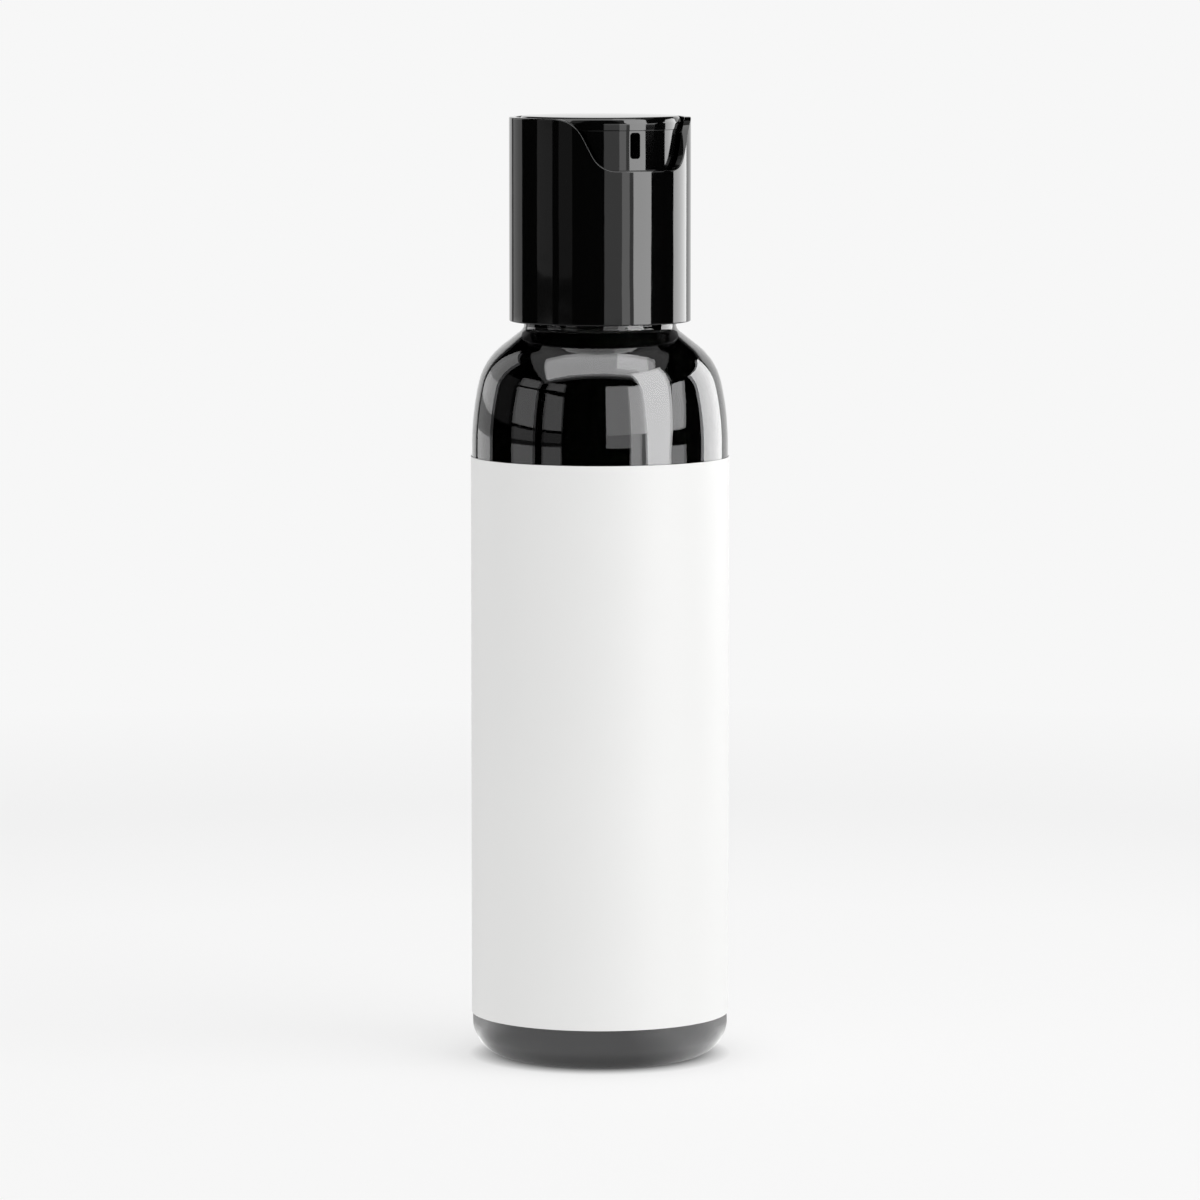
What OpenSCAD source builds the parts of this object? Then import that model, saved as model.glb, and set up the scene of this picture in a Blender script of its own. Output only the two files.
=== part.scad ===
// Round bottle with a screwed disc-top dispensing cap, in millimetres.
// The bottle stands on the XY plane, its axis is Z, and the spout faces -Y.

/* [Bottle] */
// Outer radius of the straight body
body_r = 19.85; // [16:0.05:26]
// Wall thickness of the blown body
body_wall = 1.1; // [0.6:0.05:1.6]
// Length of the straight part of the body
straight_h = 89.9; // [60:0.1:130]
// Radius of the curve between body and base
heel_r = 5.5; // [3:0.1:8]
// Width of the flat ring that the bottle stands on
foot_w = 1.3; // [0.6:0.1:2.5]
// Rise of the pushed-up base at its centre
punt_h = 2.2; // [1:0.1:4]
// Thickness of the base at its centre
base_t = 1.3; // [0.8:0.1:2.5]
// Radius of the long curve that starts the shoulder
shoulder_long_r = 44; // [30:0.5:60]
// Angle at which the long curve gives way to the tight one
shoulder_turn = 12.65; // [6:0.05:18]
// Radius of the tight shoulder curve
shoulder_tight_r = 10; // [7:0.1:13]
// Tilt of the shoulder's top cone, measured from upright
shoulder_tilt = 51.9; // [45:0.1:60]

/* [Neck finish] */
// Radius of the bead below the thread
bead_r = 11.8; // [11.4:0.05:12]
// Height of the bead
bead_h = 1.6; // [1:0.1:2]
// Radius of the neck between the thread's turns
root_r = 10.75; // [10.4:0.05:11]
// Radius of the mouth
bore_r = 8.8; // [8:0.05:9.5]
// Height of the finish from the shoulder to the mouth
finish_h = 16.25; // [15:0.05:18]
// Bevel on the mouth's outer edge
mouth_bevel = 0.4; // [0.2:0.05:0.6]
// Rise of the thread in one turn
thread_pitch = 3.175; // [2.5:0.005:4]
// Radius of the thread's crest
crest_r = 11.9; // [11.6:0.05:11.95]
// Width of the thread's flat crest
crest_w = 0.9; // [0.6:0.05:1.2]
// Extra width of the thread at its root
flank_w = 1; // [0.6:0.05:1.2]
// Height of the thread's start above the bead
thread_rise = 3.2; // [3:0.1:4]
// Turns of the neck's thread
neck_turns = 1.5; // [1:0.05:1.75]

/* [Contents] */
// Gap between the contents and the bottle's inside
gel_gap = 0.1; // [0.05:0.01:0.3]
// Depth of the fill level below the neck
fill_drop = 0.5; // [0.2:0.1:8]

/* [Label] */
// Thickness of the label film
label_t = 0.14; // [0.08:0.01:0.3]
// Adhesive line between the bottle and the label
label_glue = 0.02; // [0.01:0.01:0.05]
// Bare wall between the heel and the label
label_low = 1.2; // [0.5:0.1:10]
// Bare wall between the label and the shoulder
label_high = 1.8; // [0.5:0.1:10]
// Angle by which the label's end laps over its start
label_lap = 15; // [8:1:30]

/* [Cap shell] */
// Outer radius of the cap
cap_r = 14.05; // [13.8:0.05:16]
// Inner radius of the threaded skirt
skirt_bore_r = 12.15; // [12.05:0.05:12.4]
// Inner radius of the skirt's thread
cap_crest_r = 11.1; // [11:0.05:11.5]
// Width of the flat crest of the skirt's thread
cap_crest_w = 0.7; // [0.5:0.05:0.9]
// Turns of the skirt's thread
cap_turns = 1.25; // [1:0.05:1.5]
// Gap between the shoulder and the cap's lower edge
cap_lift_gap = 1.15; // [0.6:0.05:1.5]
// Thickness of the deck that closes the cap
deck_t = 1.5; // [1:0.1:2]
// Depth of the well above the deck
well_h = 13.9; // [12.5:0.1:16]
// Inner radius of the well that holds the disc
well_r = 13; // [12.85:0.05:13.1]
// Height of the ledge under the well, above the deck
ledge_h = 4.8; // [3.5:0.1:5]
// Rounding of the cap's outer edges
cap_edge_r = 0.2; // [0.1:0.05:0.5]
// Depth of the dip in the front of the rim
dip_depth = 7.9; // [7.4:0.1:8.2]
// Half width of the dip along its lower edge, round the cap
dip_half = 7.6; // [6:0.05:8]
// Slope of the dip's sides, from level
dip_slope = 62; // [50:1:68]
// Radius of the lower curve in each side of the dip
dip_low_r = 4.2; // [2:0.1:4.6]
// Radius of the upper curve in each side of the dip
dip_top_r = 5.1; // [2:0.1:5.5]

/* [Seal liner] */
// Thickness of the liner
liner_t = 1; // [0.6:0.1:1.5]
// Inner radius of the liner
liner_bore_r = 8.9; // [8:0.05:9.6]
// Play between the liner's edge and the skirt
liner_play = 0.2; // [0.1:0.05:0.5]

/* [Press disc] */
// Gap all round between the disc and the well
disc_gap = 0.5; // [0.45:0.05:0.6]
// Height of the disc's edge above the cap's rim
disc_proud = 0.2; // [0:0.05:0.5]
// Extra height of the disc's crown at its centre
crown_h = 0.25; // [0.1:0.05:0.5]
// Rounding of the disc's upper edge
disc_edge_r = 0.95; // [0.5:0.05:1]
// Thickness of the disc's plate
plate_t = 1.2; // [0.9:0.1:1.4]
// Depth of the disc's edge
rim_h = 2.05; // [1.6:0.05:2.2]
// Thickness of the disc's edge and front skirt
rim_t = 1.1; // [0.8:0.1:1.4]
// Step between the disc's edge and the front skirt
skirt_step = 0.1; // [0.05:0.05:0.2]
// Gap between the front skirt and the sides of the dip
skirt_gap = 0.35; // [0.2:0.05:0.6]
// Distance that the front skirt reaches below the dip
skirt_tuck = 0.4; // [0.1:0.1:0.6]
// Drop of the pivot line below the cap's rim
pivot_drop = 3; // [2.8:0.1:3.2]
// Radius of the pivot pins
pin_r = 0.8; // [0.6:0.05:1]
// Running clearance of the pins in their holes
pin_play = 0.05; // [0.02:0.01:0.08]
// Depth of the pivot holes in the well's wall
pin_hole_h = 0.6; // [0.4:0.05:0.75]
// Gap between each pin's end and the bottom of its hole
pin_end_gap = 0.1; // [0.05:0.05:0.2]
// Half width of the ears that carry the pins
ear_half = 1.9; // [1.5:0.1:2.4]
// Thickness of the ears
ear_t = 1.4; // [1:0.1:1.8]

/* [Valve and spout] */
// Angle by which the disc rocks open
rock = 20; // [19:0.5:22]
// Radius of the ball under the disc
ball_r = 3.6; // [3.3:0.1:3.9]
// Clearance of the ball in its seat
ball_play = 0.08; // [0.05:0.01:0.1]
// Wall of the chimney that carries the seat
chimney_wall = 0.8; // [0.6:0.1:1]
// Height of the seat's rim below the pivot line
seat_drop = 1.9; // [1.7:0.1:2.3]
// Width of the ports in ball and seat, along the pivot line
port_w = 3; // [2:0.1:3.4]
// Length of the ports across the pivot line
port_l = 1.1; // [0.8:0.05:1.15]
// Width of the spout's slot
slot_w = 1.7; // [1.2:0.1:2.2]
// Height of the spout's slot
slot_h = 4; // [3:0.1:4.3]
// Distance from the pivot line up to the slot's top
slot_rise = 0.9; // [0.8:0.1:1.3]
// Corner radius of the slot
slot_round = 0.5; // [0.3:0.05:0.7]
// Angle round the cap from the middle of the dip to the slot
slot_turn = 5.5; // [-8:0.1:8]
// Wall round the spout's duct
duct_wall = 1.1; // [0.8:0.1:1.3]
// Gap between the duct and the seat's chimney
duct_gap = 0.4; // [0.3:0.05:0.6]
// Width of the stop ribs behind the disc
stop_w = 1.2; // [0.8:0.1:2]
// Angle of each stop rib from the back of the cap
stop_angle = 18; // [10:1:30]
// Gap left above the stop ribs when the disc is open
stop_gap = 0.35; // [0.2:0.05:0.5]

/* [Hidden] */

fine = 96;         // facets of full circles
pin_n = 48;        // facets of pins and their holes
slot_n = 32;       // facets of the slot's round corners
arc_n = 10;        // chords in a profile's arc
edge_n = 4;        // chords in a small rounding
thread_step = 10;  // angle between the sections of a thread
thread_ramp = 30;  // angle over which a thread rises at each end
thread_bite = 0.15; // depth of a thread's foot in its wall
eps = 0.01;        // overrun of cuts
over = 1;          // overrun of long cuts

// Heights from the floor up
wall_top_z = heel_r + straight_h;
long_c = [body_r - shoulder_long_r, wall_top_z];
long_end = long_c + shoulder_long_r * [cos(shoulder_turn), sin(shoulder_turn)];
tight_c = long_end - shoulder_tight_r * [cos(shoulder_turn), sin(shoulder_turn)];
neck_z = cone_z(0, bead_r);
mouth_z = neck_z + finish_h;
fill_z = neck_z - fill_drop;
deck_z = mouth_z + liner_t;
deck_top_z = deck_z + deck_t;
cap_z = neck_z + cap_lift_gap;
thread_z = neck_z + bead_h + thread_rise;
cap_top_z = deck_top_z + well_h;
ledge_z = deck_top_z + ledge_h;
dip_z = cap_top_z - dip_depth;
pivot_z = cap_top_z - pivot_drop;

// Sizes of the disc and its valve
disc_r = well_r - disc_gap;
disc_top_z = cap_top_z + disc_proud;
plate_z = disc_top_z + crown_h - plate_t;
rim_z = disc_top_z - rim_h;
front_r = disc_r - skirt_step;
front_z = dip_z - skirt_tuck;
seat_r = ball_r + ball_play;
seat_z = pivot_z - seat_drop;
chimney_r = sqrt(pow(seat_r, 2) - pow(seat_drop, 2)) + chimney_wall;
slot_top_z = pivot_z + slot_rise;
slot_z = slot_top_z - slot_h;
duct_half = slot_w / 2 + duct_wall;
duct_z = seat_z + duct_gap;
dip_in_r = well_r - over;
dip_out_r = 3 * cap_r;

// Points along an arc about centre c, from angle a to angle b
function arc(c, r, a, b, n = arc_n) =
    [for (i = [0:n]) c + r * [cos(a + (b - a) * i / n), sin(a + (b - a) * i / n)]];

// Height of the shoulder's cone at radius r, for a wall set in by t
function cone_z(t, r) =
    let (start = tight_c + (shoulder_tight_r - t) * [cos(shoulder_tilt), sin(shoulder_tilt)])
    start[1] + (start[0] - r) / tan(shoulder_tilt);

// Radius of the shoulder's cone at height z, for a wall set in by t
function cone_r(t, z) =
    let (start = tight_c + (shoulder_tight_r - t) * [cos(shoulder_tilt), sin(shoulder_tilt)])
    start[0] - (z - start[1]) * tan(shoulder_tilt);

// Side of the bottle from heel to shoulder cone, for a wall set in by t
function side(t) = concat(
    arc([body_r - heel_r, heel_r], heel_r - t, -90, 0),
    arc(long_c, shoulder_long_r - t, 0, shoulder_turn),
    arc(tight_c, shoulder_tight_r - t, shoulder_turn, shoulder_tilt));

// Dome from the axis at height top down to radius r at height low
function dome(r, low, top) =
    let (rise = top - low, curve = (r * r + rise * rise) / (2 * rise))
    arc([0, top - curve], curve, 90, 90 - asin(r / curve));

// Floor of the bottle's inside, t above the thinnest base
function inner_floor(t) = dome(body_r - heel_r - foot_w, body_wall + t, punt_h + base_t + t);

// Share of its full height that a thread has at angle a of a whole of total degrees
function ramp(a, total) = min(1, a / thread_ramp, (total - a) / thread_ramp);

// Thread from height z on a wall of radius wall_r, whose crest is at radius top_r.
// The foot lies in the wall by thread_bite, and so does the crest at both ends
module thread(z, wall_r, top_r, top_w, turns) {
    total = 360 * turns;
    sections = floor(total / thread_step);
    out = sign(top_r - wall_r);
    foot_r = wall_r - out * thread_bite;
    low_r = wall_r - out * thread_bite / 2;
    points = [for (i = [0:sections])
        let (a = i * total / sections,
             r = low_r + (top_r - low_r) * ramp(a, total),
             mid = z + thread_pitch * a / 360)
        for (p = [[foot_r, -top_w / 2 - flank_w / 2], [r, -top_w / 2], [r, top_w / 2], [foot_r, top_w / 2 + flank_w / 2]])
            [p[0] * cos(a), p[0] * sin(a), mid + p[1]]];
    sides = [for (i = [0:sections - 1], k = [0:3])
        let (a = 4 * i + k, b = 4 * i + (k + 1) % 4)
        for (f = [[a, b + 4, a + 4], [a, b, b + 4]]) f];
    last = 4 * sections;
    ends = [[0, 2, 1], [0, 3, 2], [last, last + 1, last + 2], [last, last + 2, last + 3]];
    polyhedron(points, [for (f = concat(sides, ends)) out > 0 ? f : [f[0], f[2], f[1]]]);
}

module bottle() {
    foot_r = body_r - heel_r;
    color([0.16, 0.16, 0.17, 0.5]) {
        rotate_extrude($fn = fine)
            polygon(concat(
                dome(foot_r - foot_w, 0, punt_h),
                side(0),
                [[bead_r, neck_z], [bead_r, neck_z + bead_h], [root_r, neck_z + bead_h],
                 [root_r, mouth_z - mouth_bevel], [root_r - mouth_bevel, mouth_z],
                 [bore_r, mouth_z], [bore_r, cone_z(body_wall, bore_r)]],
                [for (i = [len(side(body_wall)) - 1:-1:0]) side(body_wall)[i]],
                [for (i = [arc_n:-1:0]) inner_floor(0)[i]]));
        thread(thread_z, root_r, crest_r, crest_w, neck_turns);
    }
}

module face_wash_gel() {
    inset = body_wall + gel_gap;
    color([0.02, 0.02, 0.02])
    rotate_extrude($fn = fine)
        polygon(concat(
            inner_floor(gel_gap),
            side(inset),
            [[cone_r(inset, fill_z), fill_z], [0, fill_z]]));
}

module label() {
    r = body_r + label_glue;
    low = heel_r + label_low;
    high = wall_top_z - label_high;
    color([0.95, 0.95, 0.95]) {
        difference() {
            translate([0, 0, low]) cylinder(r = r + label_t, h = high - low, $fn = fine);
            translate([0, 0, low - eps]) cylinder(r = r, h = high - low + 2 * eps, $fn = fine);
        }
        rotate([0, 0, 90 - label_lap / 2])
            rotate_extrude(angle = label_lap, $fn = fine)
                translate([r + label_t - eps, low]) square([label_t, high - low]);
    }
}

module seal_liner() {
    color([0.9, 0.9, 0.88])
    translate([0, 0, mouth_z])
        difference() {
            cylinder(r = skirt_bore_r - liner_play, h = liner_t, $fn = fine);
            translate([0, 0, -eps]) cylinder(r = liner_bore_r, h = liner_t + 2 * eps, $fn = fine);
        }
}

// One side of the dip's outline as [angle round the cap, height], from its lower edge up.
// inset narrows it and low is its lower edge
function dip_side(inset, low) =
    let (half = dip_half - inset + (low - dip_z) / tan(dip_slope),
         top = half + (cap_top_z - low) / tan(dip_slope))
    [for (p = concat(
        arc([half - dip_low_r * tan(dip_slope / 2), low + dip_low_r], dip_low_r, -90, dip_slope - 90),
        arc([top + dip_top_r * tan(dip_slope / 2), cap_top_z - dip_top_r], dip_top_r, 90 + dip_slope, 90)))
        [p[0] / cap_r * 180 / PI, p[1]]];

// Wedge that cuts the dip towards the axis, open at the top
module dip_wedge() {
    edge = dip_side(0, dip_z);
    rise = concat(edge, [[edge[len(edge) - 1][0], cap_top_z + over]]);
    last = len(rise) - 1;
    top = 4 * last;
    // each height has four points: left and right at the inner radius, right and left at the outer
    points = [for (p = rise, q = [[-1, dip_in_r], [1, dip_in_r], [1, dip_out_r], [-1, dip_out_r]])
        [q[0] * q[1] * sin(p[0]), -q[1] * cos(p[0]), p[1]]];
    sides = [for (i = [0:last - 1], k = [0:3])
        let (a = 4 * i + k, b = 4 * i + (k + 1) % 4)
        for (f = [[a, b + 4, a + 4], [a, b, b + 4]]) f];
    ends = [[0, 2, 1], [0, 3, 2], [top, top + 1, top + 2], [top, top + 2, top + 3]];
    polyhedron(points, concat(sides, ends));
}

// Outline of the front skirt seen from the front, on a wall of radius r
module skirt_outline(r) {
    edge = dip_side(skirt_gap, front_z);
    last = len(edge) - 1;
    polygon(concat(
        [for (p = edge) [r * sin(p[0]), p[1]]],
        [for (i = [last:-1:0]) [-r * sin(edge[i][0]), edge[i][1]]]));
}

// Extrusion of a front outline from the axis to the front
module toward_front(reach) {
    rotate([90, 0, 0]) linear_extrude(height = reach) children();
}

// Slot section with round corners, seen from the front
module slot_section(width, low, high) {
    round_r = min(slot_round, width / 2 - eps);
    translate([-width / 2 + round_r, low]) square([width - 2 * round_r, high - low]);
    translate([-width / 2, low + round_r]) square([width, high - low - 2 * round_r]);
    for (x = [-1, 1], z = [low + round_r, high - round_r])
        translate([x * (width / 2 - round_r), z]) circle(r = round_r, $fn = slot_n);
}

// Port through a wall at the bottom of ball or seat
module port(low, high) {
    translate([-port_w / 2, -port_l / 2, low]) cube([port_w, port_l, high - low]);
}

module shell_profile() {
    polygon(concat(
        [[skirt_bore_r, cap_z]],
        arc([cap_r - cap_edge_r, cap_z + cap_edge_r], cap_edge_r, -90, 0, edge_n),
        arc([cap_r - cap_edge_r, cap_top_z - cap_edge_r], cap_edge_r, 0, 90, edge_n),
        [[well_r, cap_top_z], [well_r, ledge_z], [skirt_bore_r, ledge_z],
         [skirt_bore_r, deck_top_z], [0, deck_top_z], [0, deck_z], [skirt_bore_r, deck_z]]));
}

module chimney() {
    bore = chimney_r - chimney_wall;
    roof_z = pivot_z - seat_r - chimney_wall;
    difference() {
        translate([0, 0, deck_top_z - eps])
            cylinder(r = chimney_r, h = seat_z - deck_top_z + eps, $fn = fine);
        translate([0, 0, pivot_z]) sphere(r = seat_r, $fn = fine);
        translate([0, 0, deck_z - eps])
            cylinder(r = bore, h = roof_z - deck_z, $fn = fine);
        port(roof_z - chimney_wall, pivot_z);
    }
}

// Ribs under the back of the disc that stop it when it is fully rocked
module stop_ribs() {
    back_drop = disc_r * sin(rock) - (rim_z - pivot_z) * cos(rock);
    top = pivot_z - back_drop - stop_gap;
    for (side = [-1, 1])
        rotate([0, 0, side * stop_angle])
            translate([-stop_w / 2, disc_r - rim_t, ledge_z - eps])
                cube([stop_w, well_r - disc_r + rim_t + eps, top - ledge_z + eps]);
}

module cap_shell() {
    color([0.03, 0.03, 0.03]) {
        difference() {
            union() {
                rotate_extrude($fn = fine) shell_profile();
                stop_ribs();
            }
            dip_wedge();
            translate([0, 0, deck_z - eps])
                cylinder(r = chimney_r - chimney_wall, h = deck_t + 2 * eps, $fn = fine);
            for (side = [-1, 1])
                translate([side * (well_r - over), 0, pivot_z])
                    rotate([0, side * 90, 0])
                        cylinder(r = pin_r + pin_play, h = over + pin_hole_h, $fn = pin_n);
        }
        chimney();
        thread(thread_z - thread_pitch / 2, skirt_bore_r, cap_crest_r, cap_crest_w, cap_turns);
    }
}

module disc_plate() {
    top_r = disc_r - disc_edge_r;
    rotate_extrude($fn = fine)
        polygon(concat(
            dome(top_r, disc_top_z, disc_top_z + crown_h),
            arc([top_r, disc_top_z - disc_edge_r], disc_edge_r, 90, 0),
            [[disc_r, rim_z], [disc_r - rim_t, rim_z],
             [disc_r - rim_t, plate_z], [0, plate_z]]));
}

module front_skirt() {
    intersection() {
        translate([0, 0, front_z]) difference() {
            cylinder(r = front_r, h = plate_z - front_z, $fn = fine);
            translate([0, 0, -eps])
                cylinder(r = front_r - rim_t, h = plate_z - front_z + 2 * eps, $fn = fine);
        }
        toward_front(disc_r + over) skirt_outline(front_r);
    }
}

// Duct from the ball to the front skirt, and the ball below the plate
module valve_body() {
    intersection() {
        translate([0, 0, pivot_z]) sphere(r = ball_r, $fn = fine);
        translate([-ball_r, -ball_r, pivot_z - ball_r])
            cube([2 * ball_r, 2 * ball_r, plate_z - pivot_z + ball_r + eps]);
    }
    low = slot_z - duct_wall / 2;
    front = front_r - rim_t / 2;  // half way into the skirt
    rotate([0, 0, -slot_turn]) {
        translate([-duct_half, -front, low])
            cube([2 * duct_half, front - chimney_r - duct_gap, plate_z - low + eps]);
        translate([-duct_half, -front, duct_z])
            cube([2 * duct_half, front, plate_z - duct_z + eps]);
    }
}

module duct_hollow() {
    mouth_end = chimney_r + duct_gap + duct_wall;
    rotate([0, 0, -slot_turn]) {
        translate([0, -mouth_end, 0])
            toward_front(disc_r) slot_section(slot_w, slot_z, slot_top_z);
        toward_front(disc_r) slot_section(slot_w, duct_z + duct_wall, slot_top_z);
    }
    translate([0, 0, pivot_z])
        rotate([rock, 0, 0])
            port(-ball_r - over, 0);
}

module press_disc() {
    color([0.03, 0.03, 0.03]) {
        difference() {
            union() {
                disc_plate();
                front_skirt();
                valve_body();
            }
            duct_hollow();
        }
        for (side = [-1, 1]) {
            intersection() {
                translate([side * (disc_r - ear_t / 2) - ear_t / 2, -ear_half, pivot_z - ear_half])
                    cube([ear_t, 2 * ear_half, plate_z - pivot_z + ear_half]);
                translate([0, 0, pivot_z - ear_half])
                    cylinder(r = disc_r, h = plate_z - pivot_z + ear_half, $fn = fine);
            }
            translate([side * (disc_r - ear_t), 0, pivot_z])
                rotate([0, side * 90, 0])
                    cylinder(r = pin_r, h = ear_t + disc_gap + pin_hole_h - pin_end_gap, $fn = pin_n);
        }
    }
}

bottle();
face_wash_gel();
label();
seal_liner();
cap_shell();
press_disc();
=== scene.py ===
# %% [markdown]
# A face wash bottle in a studio.
# The real thing is six pieces: a clear blown bottle, the black gel in it, a label film wrapped
# round it, a foam liner on its mouth, and a black cap of two mouldings, a shell that screws on
# and a disc that rocks in the shell's well. The frame brings those pieces as plain solids at
# their real places. Here each one that shows is made again with a finer mesh and a real finish.

# %% Load the frame
import math

import bmesh
import bpy
from mathutils import Matrix, Vector


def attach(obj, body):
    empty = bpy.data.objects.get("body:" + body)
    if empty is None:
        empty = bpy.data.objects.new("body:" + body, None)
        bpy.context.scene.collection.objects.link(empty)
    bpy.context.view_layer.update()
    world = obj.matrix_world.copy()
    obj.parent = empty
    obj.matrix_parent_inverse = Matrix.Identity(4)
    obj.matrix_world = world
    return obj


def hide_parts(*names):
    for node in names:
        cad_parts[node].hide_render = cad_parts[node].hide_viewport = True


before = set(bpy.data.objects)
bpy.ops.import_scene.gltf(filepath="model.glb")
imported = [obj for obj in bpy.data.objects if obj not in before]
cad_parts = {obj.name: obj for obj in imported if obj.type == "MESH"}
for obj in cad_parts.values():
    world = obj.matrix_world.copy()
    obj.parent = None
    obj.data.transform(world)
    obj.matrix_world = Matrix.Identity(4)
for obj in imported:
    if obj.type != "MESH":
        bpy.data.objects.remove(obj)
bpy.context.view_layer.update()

MM = 0.001

# %% [markdown]
# The camera comes first. The photograph was taken through a long lens from a little above the
# cap, with the dip in its rim about thirty degrees to the right of the view. A long lens from a metre
# away keeps the cap and the base almost parallel, which is what the photograph shows.

# %% Place the camera
VIEW_TURN = math.radians(-31.2)
VIEW_TILT = math.radians(5.93)
VIEW_DISTANCE = 1.032
VIEW_HEIGHT = 0.1783

camera_data = bpy.data.cameras.new("studio_camera")
camera_data.lens = 200.4
camera_data.sensor_width = 36.0
camera_data.clip_start = 0.05
camera = bpy.data.objects.new("studio_camera", camera_data)
camera.location = (VIEW_DISTANCE * math.sin(VIEW_TURN), -VIEW_DISTANCE * math.cos(VIEW_TURN), VIEW_HEIGHT)
camera.rotation_euler = (math.radians(90.0) - VIEW_TILT, 0.0, VIEW_TURN)
bpy.context.scene.collection.objects.link(camera)
bpy.context.scene.camera = camera
print("camera at", [round(c, 3) for c in camera.location])

# %% [markdown]
# Every size below is a real one in millimetres, and the same as in the solids. The heights
# follow from each other, so the cap sits on the liner, the liner on the mouth, and the disc
# in the cap's well.

# %% Sizes of the real thing
# Bottle, from its base to its shoulder
BODY_R = 19.85
WALL = 1.1
HEEL_R = 5.5
FOOT_W = 1.3
PUNT_H = 2.2
BASE_T = 1.3
STRAIGHT_H = 89.9
LONG_R = 44.0
LONG_TURN = 12.65
TIGHT_R = 10.0
CONE_TILT = 51.9

# Neck and threads
BEAD_R = 11.8
BEAD_H = 1.6
NECK_FILLET = 1.25
ROOT_R = 10.75
BORE_R = 8.8
FINISH_H = 16.25
MOUTH_BEVEL = 0.4
THREAD_PITCH = 3.175
CREST_R = 11.9
CREST_W = 0.9
FLANK_W = 1.0
THREAD_RISE = 3.2
THREAD_BITE = 0.15
THREAD_STEPS = 96
THREAD_RUN_OUT = 30.0
NECK_TURNS = 1.5
CAP_CREST_R = 11.1
CAP_CREST_W = 0.7
CAP_TURNS = 1.25

# Gel
GEL_WET = 0.03
FILL_DROP = 0.5

# Label
LABEL_T = 0.14
LABEL_GLUE = 0.02
LABEL_LOW = 1.2
LABEL_HIGH = 1.8
LABEL_LAP = 15.0
LAP_SINK = 0.01

# Liner and cap shell
CAP_R = 14.05
SKIRT_BORE_R = 12.15
LINER_T = 1.0
DECK_T = 1.5
WELL_H = 13.9
WELL_R = 13.0
LEDGE_H = 4.8
CAP_EDGE = 0.2
CAP_GAP = 1.15

# Dip in the cap's rim
DIP_DEPTH = 7.9
DIP_HALF = 7.6
DIP_SLOPE = 62.0
DIP_LOW_R = 4.2
DIP_TOP_R = 5.1

# Press disc and its pivot
DISC_GAP = 0.5
DISC_PROUD = 0.2
CROWN = 0.25
DISC_EDGE = 0.95
EDGE_SLOPE = 21.0
EDGE_SLOPE_H = 0.52
PLATE_T = 1.2
RIM_H = 2.05
RIM_T = 1.1
SKIRT_STEP = 0.1
SKIRT_GAP = 0.35
SKIRT_TUCK = 0.4
PIVOT_DROP = 3.0
PIN_R = 0.8
PIN_HOLE = 0.6
PIN_END_GAP = 0.1
EAR_HALF = 1.9
EAR_T = 1.4

# Valve, slot and stops
BALL_R = 3.6
BALL_PLAY = 0.08
CHIMNEY_WALL = 0.8
SEAT_DROP = 1.9
PORT_R = 0.9
SLOT_W = 1.7
SLOT_H = 4.0
SLOT_RISE = 0.9
SLOT_TURN = 5.5
SLOT_ROUND = 0.5
DUCT_WALL = 1.1
DUCT_GAP = 0.4
STOP_W = 1.2
STOP_TURN = 18.0
STOP_GAP = 0.35
ROCK = 20.0


def on_arc(centre, radius, start, end, steps):
    """Points (radius, height) along an arc whose angles are in degrees from outward, going up."""
    angles = [math.radians(start + (end - start) * i / steps) for i in range(steps + 1)]
    return [(centre[0] + radius * math.cos(a), centre[1] + radius * math.sin(a)) for a in angles]


WALL_TOP = HEEL_R + STRAIGHT_H
LONG_C = (BODY_R - LONG_R, WALL_TOP)
LONG_END = on_arc(LONG_C, LONG_R, LONG_TURN, LONG_TURN, 1)[0]
TIGHT_C = on_arc(LONG_END, -TIGHT_R, LONG_TURN, LONG_TURN, 1)[0]


def cone_height(set_in, radius):
    """Height of the shoulder's cone at a radius, for a wall set in from the outside."""
    start = on_arc(TIGHT_C, TIGHT_R - set_in, CONE_TILT, CONE_TILT, 1)[0]
    return start[1] + (start[0] - radius) / math.tan(math.radians(CONE_TILT))


NECK_Z = cone_height(0.0, BEAD_R)
MOUTH_Z = NECK_Z + FINISH_H
FILL_Z = NECK_Z - FILL_DROP
DECK_Z = MOUTH_Z + LINER_T
DECK_TOP_Z = DECK_Z + DECK_T
CAP_Z = NECK_Z + CAP_GAP
THREAD_Z = NECK_Z + BEAD_H + THREAD_RISE
CAP_TOP_Z = DECK_TOP_Z + WELL_H
LEDGE_Z = DECK_TOP_Z + LEDGE_H
DIP_Z = CAP_TOP_Z - DIP_DEPTH
PIVOT_Z = CAP_TOP_Z - PIVOT_DROP
DISC_R = WELL_R - DISC_GAP
DISC_TOP_Z = CAP_TOP_Z + DISC_PROUD
PLATE_Z = DISC_TOP_Z + CROWN - PLATE_T
RIM_Z = DISC_TOP_Z - RIM_H
FRONT_Z = DIP_Z - SKIRT_TUCK
SEAT_Z = PIVOT_Z - SEAT_DROP
print("neck %.2f, mouth %.2f, cap top %.2f mm" % (NECK_Z, MOUTH_Z, CAP_TOP_Z))

# %% [markdown]
# Most pieces here are turned shapes, so one helper does what a lathe does: it takes half of the
# section, spins it about the axis and rounds the rings where the section turns a sharp corner.
# A moulded edge is never a true corner, and the small round is what catches the light.
# Weighted normals keep the long straight walls from taking on the shading of those rounds.

# %% Helpers that turn a section into a piece
TURNS = 256
CORNER = math.radians(32.0)


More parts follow.
